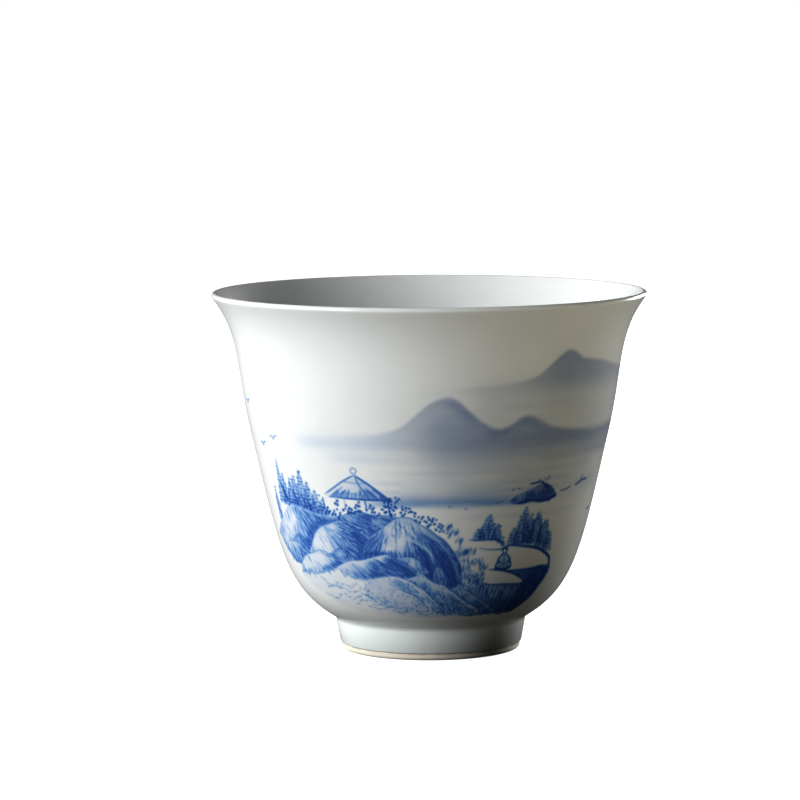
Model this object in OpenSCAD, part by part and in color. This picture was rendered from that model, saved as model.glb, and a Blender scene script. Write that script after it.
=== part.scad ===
// Flared-mouth porcelain teacup, standing upright.
// Origin at the middle of the circle that the foot stands on, +Z up, millimetres.

/* [Cup] */
// Height from the table to the top of the lip
cup_height = 59.5; // [57:0.5:62]
// Diameter across the widest part of the lip
mouth_d = 72; // [70:0.5:76]
// Outer radius where the round belly turns into the flare
waist_r = 29.7; // [28.5:0.1:30.5]
// Height of that turn
waist_z = 36.5; // [34:0.5:39]
// Lean of the wall at that turn, in degrees above level
waist_lean = 77; // [72:1:82]
// Lean of the wall where the belly leaves the foot
belly_lean = 32; // [25:1:40]
// Lean of the wall at the lip
lip_lean = 53; // [45:1:60]

/* [Wall] */
// Thickness of the rounded lip, glaze included
lip_t = 1.0; // [0.8:0.1:1.6]
// Thickness of the wall where the belly leaves the foot, glaze included
belly_t = 2.2; // [1.8:0.1:2.6]
// Thickness of the floor at its middle, glaze included
floor_t = 2.6; // [2:0.1:3]
// Thickness of every coat of glaze
glaze_t = 0.25; // [0.15:0.05:0.3]

/* [Foot] */
// Outer radius of the foot where it meets the belly
foot_top_r = 15.7; // [15.2:0.1:16.5]
// Outer radius of the foot just above its bare bottom edge
foot_low_r = 15.1; // [14.8:0.1:15.5]
// Inner radius of the foot ring, glaze included
well_r = 12.4; // [12:0.1:12.6]
// Depth of the glazed recess under the cup
well_depth = 4.4; // [4.2:0.1:4.8]
// Height of the bare band around the outside of the foot
bare_h = 1.1; // [0.8:0.1:1.4]

/* [Hidden] */
$fn = 180;

// Straight run that each curve keeps at its ends before it bends
neck_pull = 0.7;
belly_pull = 9;
waist_pull_down = 20;
waist_pull_up = 11;
lip_pull = 8;
// The neck between foot and belly: how far it comes out and rises
neck_size = [0.85, 1.2];
// The inside follows the outside down to this part of the belly, then rounds into the floor
floor_turn = 0.2;
floor_pull = 4;
floor_flat_r = 9;
// Rounding of the foot's outer and inner bottom edges, and of the recess's inner corner
foot_round = 0.7;
well_round = 0.5;
corner_round = 0.9;

foot_h = well_depth + glaze_t;
floor_z = well_depth + floor_t;
lip_r = lip_t / 2;
bisque_lip_r = lip_r - glaze_t;
lip_centre = [mouth_d / 2 - lip_r, cup_height - lip_r];
// Directions seen from the middle of the lip: its outer end, its ridge and its inner end
lip_out = lip_lean - 90;
lip_ridge = 90;
lip_in = lip_lean + 90;

function along(lean) = [cos(lean), sin(lean)];
function bezier(p, t) =
    pow(1 - t, 3) * p[0] + 3 * t * pow(1 - t, 2) * p[1]
    + 3 * t * t * (1 - t) * p[2] + pow(t, 3) * p[3];
function heading(p, t) =
    let (slope = pow(1 - t, 2) * (p[1] - p[0]) + 2 * t * (1 - t) * (p[2] - p[1])
            + t * t * (p[3] - p[2]))
    slope / norm(slope);
// A point of a curve, moved in from it by a depth of wall
function sunk(p, t, depth) = bezier(p, t) + depth * [-heading(p, t)[1], heading(p, t)[0]];
function arc(centre, r, from, to, steps) =
    [for (i = [0:steps]) centre + r * along(from + (to - from) * i / steps)];
function reversed(points) = [for (i = [len(points) - 1:-1:0]) points[i]];

// The outside of the cup: a short neck over the foot, the round belly, then the flare
foot_top = [foot_top_r, foot_h];
neck_top = foot_top + neck_size;
waist = [waist_r, waist_z];
lip_start = lip_centre + lip_r * along(lip_out);
neck = [foot_top, foot_top + [0, neck_pull],
        neck_top - neck_pull * along(belly_lean), neck_top];
belly = [neck_top, neck_top + belly_pull * along(belly_lean),
         waist - waist_pull_down * along(waist_lean), waist];
flare = [waist, waist + waist_pull_up * along(waist_lean),
         lip_start - lip_pull * along(lip_lean), lip_start];

// The outside, or a surface at an even depth under it, from the foot to just short of the lip
function outside(depth) = concat(
    [for (i = [0:5]) sunk(neck, i / 6, depth)],
    [for (i = [0:27]) sunk(belly, i / 28, depth)],
    [for (i = [0:19]) sunk(flare, i / 20, depth)]);

// The inside, or a surface behind it, from the middle of the floor to just short of the lip.
// done runs from 0 at the neck through 0.5 at the waist to 1 at the lip.
function wall_depth(done) = belly_t + (lip_t - belly_t) * done;
function inside(behind) =
    let (turn_depth = wall_depth(floor_turn / 2) - behind,
         turn = sunk(belly, floor_turn, turn_depth),
         floor_curve = [[0, floor_z - behind], [floor_flat_r, floor_z - behind],
                        turn - floor_pull * heading(belly, floor_turn), turn])
    concat(
        [for (i = [0:15]) bezier(floor_curve, i / 16)],
        [for (i = [0:23]) let (t = floor_turn + (1 - floor_turn) * i / 24)
            sunk(belly, t, wall_depth(t / 2) - behind)],
        [for (i = [0:19]) let (t = i / 20) sunk(flare, t, wall_depth((1 + t) / 2) - behind)]);

function lip_arc(r, from, to) = arc(lip_centre, r, from, to, 8);

module turned(points) { rotate_extrude() polygon(points); }

// Fired clay wall and floor, under the glaze
module bowl() {
    color("whitesmoke") turned(concat(
        [[0, foot_h]],
        outside(glaze_t),
        lip_arc(bisque_lip_r, lip_out, lip_in),
        reversed(inside(glaze_t))));
}

// Fired clay ring under the bowl, bare along its bottom edge
module foot_ring() {
    outer_r = foot_low_r - glaze_t;
    inner_r = well_r + glaze_t;
    color("wheat") turned(concat(
        [[foot_top_r - glaze_t, foot_h], [inner_r, foot_h]],
        arc([inner_r + well_round, well_round], well_round, 180, 270, 6),
        arc([outer_r - foot_round, foot_round], foot_round, -90, 0, 8),
        [[outer_r, bare_h]]));
}

// Clear coat from the ridge of the lip down the outside to the bare band of the foot
module outer_glaze() {
    color("aliceblue") turned(concat(
        [[foot_low_r - glaze_t, bare_h], [foot_low_r, bare_h + glaze_t]],
        outside(0),
        lip_arc(lip_r, lip_out, lip_ridge),
        lip_arc(bisque_lip_r, lip_ridge, lip_out),
        reversed(outside(glaze_t))));
}

// Clear coat from the ridge of the lip down the inside and over the floor
module inner_glaze() {
    color("white") turned(concat(
        inside(0),
        lip_arc(lip_r, lip_in, lip_ridge),
        lip_arc(bisque_lip_r, lip_ridge, lip_in),
        reversed(inside(glaze_t))));
}

// Clear coat in the recess under the cup, pooled in its corner
module foot_well_glaze() {
    color("ghostwhite") turned(concat(
        [[0, foot_h], [0, well_depth]],
        arc([well_r - corner_round, well_depth - corner_round], corner_round, 90, 0, 6),
        [[well_r, bare_h], [well_r + glaze_t, bare_h - glaze_t], [well_r + glaze_t, foot_h]]));
}

bowl();
foot_ring();
outer_glaze();
inner_glaze();
foot_well_glaze();
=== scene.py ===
import math
import random

import bmesh
import bpy
import numpy as np
from mathutils import Matrix, Vector


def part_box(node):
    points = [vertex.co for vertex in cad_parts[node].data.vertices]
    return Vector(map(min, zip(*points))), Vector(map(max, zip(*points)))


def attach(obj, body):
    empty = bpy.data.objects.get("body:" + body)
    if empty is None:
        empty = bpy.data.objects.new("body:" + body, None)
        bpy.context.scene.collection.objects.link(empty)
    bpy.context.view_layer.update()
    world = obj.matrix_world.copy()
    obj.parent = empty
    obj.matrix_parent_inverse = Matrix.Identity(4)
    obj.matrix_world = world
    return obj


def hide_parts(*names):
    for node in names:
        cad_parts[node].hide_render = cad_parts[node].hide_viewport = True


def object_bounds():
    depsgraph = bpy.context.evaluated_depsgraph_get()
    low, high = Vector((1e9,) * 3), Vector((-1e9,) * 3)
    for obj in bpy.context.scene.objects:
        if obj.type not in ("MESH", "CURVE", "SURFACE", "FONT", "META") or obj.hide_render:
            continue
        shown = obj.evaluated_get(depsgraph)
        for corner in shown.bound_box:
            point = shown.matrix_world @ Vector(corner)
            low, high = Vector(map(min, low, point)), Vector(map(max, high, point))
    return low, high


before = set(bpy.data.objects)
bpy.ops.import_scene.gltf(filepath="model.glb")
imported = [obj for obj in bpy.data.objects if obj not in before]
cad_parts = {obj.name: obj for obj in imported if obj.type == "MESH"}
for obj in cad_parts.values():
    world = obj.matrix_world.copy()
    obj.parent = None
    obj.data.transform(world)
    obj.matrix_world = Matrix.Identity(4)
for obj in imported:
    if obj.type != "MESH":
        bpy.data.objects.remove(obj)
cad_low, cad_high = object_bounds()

mm = 0.001

# ----------------------------------------------------------------------
# Bowl: the fired porcelain wall and floor. It is turned on the wheel from one piece of white
# clay, about 1 mm thick at the lip and 2 mm at the belly, and the glaze hides all of it.
# ----------------------------------------------------------------------
CUP_HEIGHT = cad_high[2]
MOUTH_R = cad_high[0]
LIP_R = 0.5 * mm
BELLY_T = 2.2 * mm
FLOOR_Z = 7 * mm
GLAZE_T = 0.25 * mm
FOOT_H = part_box("foot_ring")[1].z
FOOT_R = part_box("foot_ring")[1].x + GLAZE_T
WAIST = Vector((29.7, 36.5)) * mm
WAIST_LEAN, BELLY_LEAN, LIP_LEAN = 77, 32, 53
FLOOR_TURN = 0.2
BISQUE_WHITE = (0.80, 0.79, 0.76)


def along(lean, length=1.0):
    """A step in the half-section, lean degrees above level."""
    return Vector((math.cos(math.radians(lean)), math.sin(math.radians(lean)))) * length


def bezier(p, t):
    u = 1 - t
    return p[0] * u ** 3 + p[1] * (3 * t * u * u) + p[2] * (3 * t * t * u) + p[3] * t ** 3


def heading(p, t):
    u = 1 - t
    way = (p[1] - p[0]) * (u * u) + (p[2] - p[1]) * (2 * t * u) + (p[3] - p[2]) * (t * t)
    return way.normalized()


def sunk(p, t, depth):
    """A point of a curve, moved in from it by a depth of wall."""
    way = heading(p, t)
    return bezier(p, t) + Vector((-way.y, way.x)) * depth


lip_centre = Vector((MOUTH_R - LIP_R, CUP_HEIGHT - LIP_R))
lip_start = lip_centre + along(LIP_LEAN - 90, LIP_R)
foot_top = Vector((FOOT_R, FOOT_H))
neck_top = foot_top + Vector((0.85, 1.2)) * mm
neck = (foot_top, foot_top + Vector((0, 0.7)) * mm, neck_top - along(BELLY_LEAN, 0.7 * mm), neck_top)
belly = (neck_top, neck_top + along(BELLY_LEAN, 9 * mm), WAIST - along(WAIST_LEAN, 20 * mm), WAIST)
flare = (WAIST, WAIST + along(WAIST_LEAN, 11 * mm), lip_start - along(LIP_LEAN, 8 * mm), lip_start)


def wall_depth(done):
    """Thickness of the wall: done is 0 at the neck, 0.5 at the waist and 1 at the lip."""
    return BELLY_T + (2 * LIP_R - BELLY_T) * done


def outside(depth, steps):
    """Half-section at an even depth under the outside, from the foot to just short of the lip."""
    return [sunk(curve, i / n, depth) for curve, n in zip((neck, belly, flare), steps) for i in range(n)]


def inside(behind, steps):
    """Half-section at an even depth behind the inside, from the floor's middle to the lip."""
    turn = sunk(belly, FLOOR_TURN, wall_depth(FLOOR_TURN / 2) - behind)
    middle = Vector((0, FLOOR_Z - behind))
    floor = (middle, middle + Vector((9 * mm, 0)), turn - heading(belly, FLOOR_TURN) * 4 * mm, turn)
    line = [bezier(floor, i / steps[0]) for i in range(steps[0])]
    for i in range(steps[1]):
        t = FLOOR_TURN + (1 - FLOOR_TURN) * i / steps[1]
        line.append(sunk(belly, t, wall_depth(t / 2) - behind))
    for i in range(steps[2]):
        t = i / steps[2]
        line.append(sunk(flare, t, wall_depth((1 + t) / 2) - behind))
    return line


def arc(centre, radius, start, end, steps):
    """Points of a round edge in the half-section, between two directions in degrees."""
    return [centre + along(start + (end - start) * i / steps, radius) for i in range(steps + 1)]


def turned(name, line, arcs=((360, 240),)):
    """Spins a closed half-section about the cup's axis. arcs gives the degrees and the steps of
    each stretch of the turn, which starts behind the cup and runs anticlockwise from above."""
    bm = bmesh.new()
    ring = [bm.verts.new((0, p.x, p.y)) for p in line]
    last = ring + [bm.edges.new(pair) for pair in zip(ring, ring[1:] + ring[:1])]
    for degrees, steps in arcs:
        last = bmesh.ops.spin(bm, geom=last, cent=(0, 0, 0), axis=(0, 0, 1),
                              angle=math.radians(degrees), steps=steps)["geom_last"]
    bmesh.ops.remove_doubles(bm, verts=bm.verts, dist=0.002 * mm)
    bmesh.ops.delete(bm, geom=[edge for edge in bm.edges if edge.is_wire], context="EDGES")
    bmesh.ops.recalc_face_normals(bm, faces=bm.faces)
    mesh = bpy.data.meshes.new(name)
    bm.to_mesh(mesh)
    bm.free()
    mesh.shade_smooth()
    piece = bpy.data.objects.new(name, mesh)
    bpy.context.scene.collection.objects.link(piece)
    return piece


class Wire:
    """A socket of a material, on which sums are written as sums."""

    def __init__(self, paint, socket):
        self.paint, self.socket = paint, socket

    def sum(self, operation, *terms):
        return self.paint.node("ShaderNodeMath", {"operation": operation}, terms)

    def __add__(self, other):
        return self.sum("ADD", self, other)

    def __sub__(self, other):
        return self.sum("SUBTRACT", self, other)

    def __rsub__(self, other):
        return self.sum("SUBTRACT", other, self)

    def __mul__(self, other):
        return self.sum("MULTIPLY", self, other)

    def __truediv__(self, other):
        return self.sum("DIVIDE", self, other)

    def __pow__(self, other):
        return self.sum("POWER", self, other)

    __radd__, __rmul__ = __add__, __mul__

    def between(self, low, high):
        """0 below low, 1 above high and smooth between them."""
        return self.paint.node("ShaderNodeMapRange", {"interpolation_type": "SMOOTHSTEP"},
                               {"Value": self, "From Min": low, "From Max": high})


class Nodes:
    """A tree of shader nodes, and how nodes are added to it."""

    def __init__(self, tree):
        self.tree = tree

    def feed(self, node, values):
        pairs = values.items() if isinstance(values, dict) else enumerate(values)
        for key, value in pairs:
            if isinstance(value, Wire):
                self.tree.links.new(value.socket, node.inputs[key])
            else:
                node.inputs[key].default_value = value

    def node(self, kind, settings=None, values=(), output=0):
        node = self.tree.nodes.new(kind)
        for key, value in (settings or {}).items():
            if key == "stops":
                self.set_stops(node.color_ramp.elements, value)
            else:
                setattr(node, key, value)
        self.feed(node, values)
        return Wire(self, node.outputs[output])

    def set_stops(self, elements, stops):
        for i, (place, colour) in enumerate(stops):
            element = elements[i] if i < 2 else elements.new(place)
            element.position, element.color = place, (*colour, 1)


class Finish(Nodes):
    """A material of one Principled shader, and the nodes that feed it."""

    def __init__(self, name, **values):
        self.material = bpy.data.materials.new(name)
        self.material.use_nodes = True
        super().__init__(self.material.node_tree)
        self.shader = next(n for n in self.tree.nodes if n.type == "BSDF_PRINCIPLED")
        self.place = self.node("ShaderNodeTexCoord", output="Object")
        self.feed(self.shader, {key.replace("_", " "): value for key, value in values.items()})

    def noise(self, size, detail=2.0, stretch=(1, 1, 1), **more):
        """Cloudy noise, 0 to 1, with blotches of about that size in metres."""
        place = self.node("ShaderNodeMapping", {}, {"Vector": self.place, "Scale": stretch})
        values = {"Vector": place, "Scale": 1 / size, "Detail": detail, **more}
        return self.node("ShaderNodeTexNoise", {}, values)

    def mix(self, factor, first, second):
        """Colour first where factor is 0 and second where it is 1."""
        node = self.tree.nodes.new("ShaderNodeMix")
        node.data_type = "RGBA"
        colours = [c if isinstance(c, Wire) else (*c, 1) for c in (first, second)]
        self.feed(node, {0: factor, 6: colours[0], 7: colours[1]})
        return Wire(self, node.outputs[2])

    def bump(self, height, depth):
        """Raises the surface by height times depth, in metres."""
        return self.node("ShaderNodeBump", {}, {"Height": height, "Distance": depth, "Strength": 1.0})

    def wear(self, *pieces):
        for piece in pieces:
            piece.data.materials.clear()
            piece.data.materials.append(self.material)


def show(piece, node):
    """Hangs a piece on the root body and hides the solid of the part file that it stands for."""
    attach(piece, "root")
    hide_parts(node)


bisque_lip_r = LIP_R - GLAZE_T
lip_out, lip_ridge, lip_in = LIP_LEAN - 90, 90, LIP_LEAN + 90
bowl = turned("bowl_bisque", [Vector((0, FOOT_H))] + outside(GLAZE_T, (4, 20, 14))
              + arc(lip_centre, bisque_lip_r, lip_out, lip_in, 8) + inside(GLAZE_T, (10, 18, 14))[::-1],
              ((360, 120),))
bisque = Finish("white_bisque", Roughness=0.8)
grain = bisque.noise(0.6 * mm, detail=4)
bisque.feed(bisque.shader, {
    "Base Color": bisque.mix(grain, BISQUE_WHITE, (0.74, 0.72, 0.68)),
    "Normal": bisque.bump(grain, 0.02 * mm)})
bisque.wear(bowl)
show(bowl, "bowl")

# ----------------------------------------------------------------------
# Foot ring: the turned ring of clay under the bowl. Its bottom edge is wiped clean of glaze
# before firing, so it stays matt and toasts to a warm cream, darkest along the glaze.
# ----------------------------------------------------------------------
FOOT_LOW_R = 15.1 * mm
WELL_R = 12.4 * mm
WELL_DEPTH = FOOT_H - GLAZE_T
BARE_H = 1.1 * mm
FOOT_ROUND = 0.7 * mm
WELL_ROUND = 0.5 * mm
FOOT_CREAM = (0.70, 0.65, 0.54)
FOOT_TOAST = (0.46, 0.35, 0.21)

ring_outer, ring_inner = FOOT_LOW_R - GLAZE_T, WELL_R + GLAZE_T
ring_line = [Vector((FOOT_R - GLAZE_T, FOOT_H)), Vector((ring_inner, FOOT_H))]
ring_line += arc(Vector((ring_inner + WELL_ROUND, WELL_ROUND)), WELL_ROUND, 180, 270, 8)
ring_line += arc(Vector((ring_outer - FOOT_ROUND, FOOT_ROUND)), FOOT_ROUND, -90, 0, 12)
ring_line += [Vector((ring_outer, BARE_H))]
foot_ring = turned("foot_ring_bisque", ring_line, ((360, 200),))
cream = Finish("bare_foot", Roughness=0.75)
height = cream.node("ShaderNodeSeparateXYZ", {}, {"Vector": cream.place}, output=2)
toast = height.between(0.6 * BARE_H, BARE_H) * cream.noise(1.5 * mm, detail=3).between(0.35, 0.65)
grit = cream.noise(0.25 * mm, detail=5)
cream.feed(cream.shader, {
    "Base Color": cream.mix(toast * 0.7 + grit.between(0.58, 0.75) * 0.3, FOOT_CREAM, FOOT_TOAST),
    "Normal": cream.bump(grit, 0.05 * mm)})
cream.wear(foot_ring)
show(foot_ring, "foot_ring")

# ----------------------------------------------------------------------
# Foot well glaze: the clear coat in the recess under the cup. It was poured in and shaken out,
# so it has pooled a little in the corner, where it looks faintly green.
# ----------------------------------------------------------------------
CORNER_ROUND = 0.9 * mm
GLAZE_WHITE = (0.80, 0.82, 0.81)
GLAZE_POOL = (0.62, 0.72, 0.69)
GLAZE_ROUGHNESS, GLAZE_IOR = 0.18, 1.5
SWELL_DEPTH = 0.03 * mm


def clear_coat(name, pooled, paint=None):
    """Porcelain seen through clear glaze. pooled(finish) says where the glaze stands thick, and
    paint(finish, white) puts colour under it."""
    coat = Finish(name, Roughness=GLAZE_ROUGHNESS, IOR=GLAZE_IOR)
    cloud = coat.noise(9 * mm, detail=3).between(0.3, 0.8)
    white = coat.mix(cloud, GLAZE_WHITE, tuple(c * 0.97 for c in GLAZE_WHITE))
    white = coat.mix(pooled(coat), white, GLAZE_POOL)
    swell = coat.noise(3.5 * mm, detail=1.5)
    coat.feed(coat.shader, {
        "Base Color": paint(coat, white) if paint else white,
        "Normal": coat.bump(swell, SWELL_DEPTH)})
    return coat


def near_well_corner(coat):
    x, y = (coat.node("ShaderNodeSeparateXYZ", {}, {"Vector": coat.place}, output=k) for k in (0, 1))
    out = (x * x + y * y) ** 0.5
    return out.between(WELL_R - 2.5 * mm, WELL_R)


well_line = [Vector((0, FOOT_H)), Vector((0, WELL_DEPTH))]
well_line += arc(Vector((WELL_R - CORNER_ROUND, WELL_DEPTH - CORNER_ROUND)), CORNER_ROUND, 90, 0, 10)
well_line += [Vector((WELL_R, BARE_H)), Vector((WELL_R + GLAZE_T, BARE_H - GLAZE_T)),
              Vector((WELL_R + GLAZE_T, FOOT_H))]
foot_well = turned("foot_well_coat", well_line, ((360, 160),))
clear_coat("well_glaze", near_well_corner).wear(foot_well)
show(foot_well, "foot_well_glaze")

# ----------------------------------------------------------------------
# Inner glaze: the clear coat over the inside, from the ridge of the lip to the floor. It is
# smooth and bright, and thickest in the round of the floor.
# ----------------------------------------------------------------------


def near_floor(coat):
    height = coat.node("ShaderNodeSeparateXYZ", {}, {"Vector": coat.place}, output=2)
    return (1 - height.between(FLOOR_Z, FLOOR_Z + 6 * mm)) * 0.5


inner_glaze = turned("inner_coat", inside(0, (26, 60, 44))
                     + arc(lip_centre, LIP_R, lip_in, lip_ridge, 8)
                     + arc(lip_centre, bisque_lip_r, lip_ridge, lip_in, 4)
                     + inside(GLAZE_T, (8, 16, 14))[::-1], ((360, 320),))
clear_coat("inner_clear_glaze", near_floor).wear(inner_glaze)
show(inner_glaze, "inner_glaze")

# ----------------------------------------------------------------------
# Outer glaze: the clear coat over the outside, from the ridge of the lip to the bare band of the
# foot. The landscape under it is brushed on the raw clay in cobalt before the glazing.
# ----------------------------------------------------------------------
SHEET_UP = 0.085            # spacing of the painted sheet up the wall, in mm
SHEET_TURN = 0.17           # and around it, in degrees: 0 is the front, and right of it is positive
section = outside(0, (40, 500, 300)) + [lip_start]
section_h = np.array([p.y for p in section]) / mm
section_r = np.array([p.x for p in section]) / mm
section_up = np.concatenate([[0], np.cumsum(np.hypot(np.diff(section_h), np.diff(section_r)))])
sheet_up = np.arange(0, section_up[-1], SHEET_UP)
sheet_turn = np.arange(-180, 180, SHEET_TURN)
cobalt = np.zeros((len(sheet_up), len(sheet_turn)))
FULL_INK = 0.98             # the most that one coat can cover
brush = random.Random(8)


def near(value, spread):
    return value + brush.uniform(-spread, spread)


def ramp(x, low, high):
    """0 below low, 1 above high and smooth between them."""
    t = np.clip((x - low) / (high - low), 0, 1)
    return t * t * (3 - 2 * t)


def wall(points):
    """Points of (degrees, height in mm) as (degrees, mm up the wall)."""
    p = np.array(points, float)
    p[:, 1] = np.interp(p[:, 1], section_h, section_up)
    return p


def across(up):
    """Length of one degree around the cup, in mm, at a place up the wall."""
    return np.interp(up, section_up, section_r) * math.pi / 180


def flowing(points, steps=5):
    """A smooth curve through the points."""
    p = np.array([points[0], *points, points[-1]], float)
    t = np.linspace(0, 1, steps, endpoint=False)[:, None]
    runs = [b + t / 2 * (c - a) + t ** 2 * (a - 2.5 * b + 2 * c - d / 2)
            + t ** 3 * (1.5 * (b - c) + (d - a) / 2)
            for a, b, c, d in zip(p, p[1:], p[2:], p[3:])]
    return np.vstack(runs + [p[-1:]])


def lay(where, ink):
    """Adds a coat of ink, 0 to 1, over what is there, or lifts a share of it where ink is below 0."""
    dry = cobalt[where]
    darker = 1 - (1 - dry) * (1 - np.clip(ink, 0, FULL_INK))
    cobalt[where] = np.where(ink > 0, darker, dry * (1 + np.clip(ink, -1, 0)))


def stroke(p, width, ink, ends=(0.4, 0.2), soft=0.12, grow=4.0):
    """One stroke of the brush through points of (degrees, mm up the wall). It is thinned to the
    shares ends at its start and its end, and swells in between at the rate grow."""
    scale = across(p[:, 1].mean())
    p = p * (scale, 1)
    low, high = p.min(0) - width / 2 - soft, p.max(0) + width / 2 + soft
    rows = slice(*np.searchsorted(sheet_up, (low[1], high[1])))
    columns = slice(*np.searchsorted(sheet_turn, (low[0] / scale, high[0] / scale)))
    x, y = sheet_turn[columns] * scale, sheet_up[rows, None]
    start, step = p[:-1, :, None, None], np.diff(p, axis=0)[:, :, None, None]
    length = np.maximum((step ** 2).sum(1), 1e-9)
    t = np.clip(((x - start[:, 0]) * step[:, 0] + (y - start[:, 1]) * step[:, 1]) / length, 0, 1)
    gap = np.hypot(x - start[:, 0] - t * step[:, 0], y - start[:, 1] - t * step[:, 1])
    part = (t + np.arange(len(t))[:, None, None]) / len(t)
    nearest = gap.argmin(0)[None]
    gap, part = (np.take_along_axis(v, nearest, 0)[0] for v in (gap, part))
    swell = np.minimum(1, np.minimum(ends[0] + grow * part, ends[1] + grow * (1 - part)))
    lay((rows, columns), ink * swell ** 0.5 * np.clip(0.5 + (swell * width / 2 - gap) / soft, 0, 1))


def line(points, width, ink, ends=(0.4, 0.2), soft=0.12, grow=4.0):
    """A smooth brush line through points of (degrees, height)."""
    stroke(flowing(wall(points)), width, ink, ends, soft, grow)


def dab(turn, h, length, width, ink, lean=0.0, soft=0.12):
    """One touch of the tip of the brush, lean degrees from level."""
    middle = wall([(turn, h)])[0]
    reach = np.array([math.cos(math.radians(lean)) / across(middle[1]), math.sin(math.radians(lean))])
    stroke(np.array([middle - reach * length / 2, middle + reach * length / 2]), width, ink, (0.6, 0.5), soft)


def field(outline, blur=2):
    """Where the sheet lies inside a closed outline of (degrees, mm up), 0 to 1, softly edged."""
    low, high = outline.min(0), outline.max(0)
    rows = slice(*np.searchsorted(sheet_up, (low[1] - 1, high[1] + 1)))
    columns = slice(*np.searchsorted(sheet_turn, (low[0] - 2, high[0] + 2)))
    x, y = sheet_turn[columns], sheet_up[rows, None]
    body = np.zeros((y.size, x.size), bool)
    for p, q in zip(outline, np.roll(outline, -1, 0)):
        rise = q[1] - p[1] if q[1] != p[1] else 1e-9
        body ^= ((p[1] > y) != (q[1] > y)) & (x < p[0] + (y - p[1]) * (q[0] - p[0]) / rise)
    body = body.astype(float)
    for _ in range(blur):
        body[1:-1, 1:-1] = (body[1:-1, 1:-1] + body[:-2, 1:-1] + body[2:, 1:-1]
                            + body[1:-1, :-2] + body[1:-1, 2:]) / 5
    return (rows, columns), x, y, body


def clouds(high, wide, seed):
    """Soft noise over the whole sheet, 0 to 1, in blots of so many mm by so many degrees."""
    spots = np.random.default_rng(seed).random((int(sheet_up[-1] / high) + 2, int(360 / wide)))
    spots = np.hstack([spots, spots[:, :1]])
    around = np.linspace(-180, 180, spots.shape[1])
    rows = np.array([np.interp(sheet_turn, around, row) for row in spots])
    below = (sheet_up / high).astype(int)
    part = ramp(sheet_up / high - below, 0, 1)[:, None]
    return rows[below] * (1 - part) + rows[below + 1] * part


streaks = 0.6 * clouds(1.3, 15, 1) + 0.4 * clouds(0.6, 8, 2)
mottle = 0.6 * clouds(1.5, 3, 3) + 0.4 * clouds(0.5, 1, 4)


def range_of_hills(ridge, edge, clear, lost, body):
    """A far range, given as (degrees, height, ink) along its ridge: soft above the ridge,
    darkest just under it, and sinking into mist between the heights clear and lost."""
    curve = flowing(ridge)
    under = wall(curve)[:, 1]
    under = np.interp(sheet_turn, curve[:, 0], under)[None, :] - sheet_up[:, None]
    ink = np.interp(sheet_turn, curve[:, 0], curve[:, 2])[None, :]
    solid = ramp(under, -edge, edge) * (body + (1 - body) * np.exp(-np.maximum(under, 0) / 1.2))
    mist = wall([(0, lost), (0, clear)])[:, 1] + 1.5 * (streaks - 0.5)[..., None]
    mist = ramp(sheet_up[:, None], mist[..., 0], mist[..., 1])
    lay(np.s_[:], ink * solid * mist * (0.85 + 0.3 * streaks))


def water(h, thick, left, right, ink, below=1.0):
    """A level streak of wash, its lower edge sharper by a factor."""
    up = sheet_up[:, None] - wall([(0, h)])[0, 1]
    ends = ramp(sheet_turn, left, left + 14) * (1 - ramp(sheet_turn, right - 14, right))
    lay(np.s_[:], ink * np.exp(-(up * np.where(up > 0, 1, below) / thick) ** 2) * ends * (0.5 + streaks))


def inside_field(where, body, p):
    row = np.searchsorted(sheet_up, p[1]) - where[0].start
    column = np.searchsorted(sheet_turn, p[0]) - where[1].start
    return 0 <= row < body.shape[0] and 0 <= column < body.shape[1] and body[row, column] > 0.6


def hatch(where, x, y, body, shade, crown, spacing, reach, width, ink):
    """Short strokes that fan out from a crown point, closest and darkest where shade is 1."""
    scale, source = across(y.mean()), wall([crown])[0]
    for up in np.arange(y[0, 0], y[-1, 0], spacing):
        for turn in np.arange(x[0], x[-1], spacing / scale):
            p = np.array([near(turn, spacing / scale / 2), near(up, spacing / 2)])
            if not inside_field(where, body, p):
                continue
            row, column = (p[1] - y[0, 0]) / SHEET_UP, (p[0] - x[0]) / SHEET_TURN
            dark = shade[min(int(row), y.size - 1), min(int(column), x.size - 1)]
            if brush.random() > dark * 1.1:
                continue
            way = (p - source) * (scale, 1)
            way = way / math.hypot(*way) * near(reach, 0.4 * reach)
            bend = np.array([way[1], -way[0]]) * brush.uniform(-0.1, 0.1) - (0, 0.08 * reach)
            path = [p, p + (way / 2 - bend / 2) / (scale, 1), p + (way + bend / 2) / (scale, 1)]
            if not inside_field(where, body, path[2]):
                path.pop()
            stroke(np.array(path), near(width, 0.3 * width),
                   near(ink, 0.3 * ink) * (0.5 + dark / 2), (0.7, 0.1))


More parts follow.
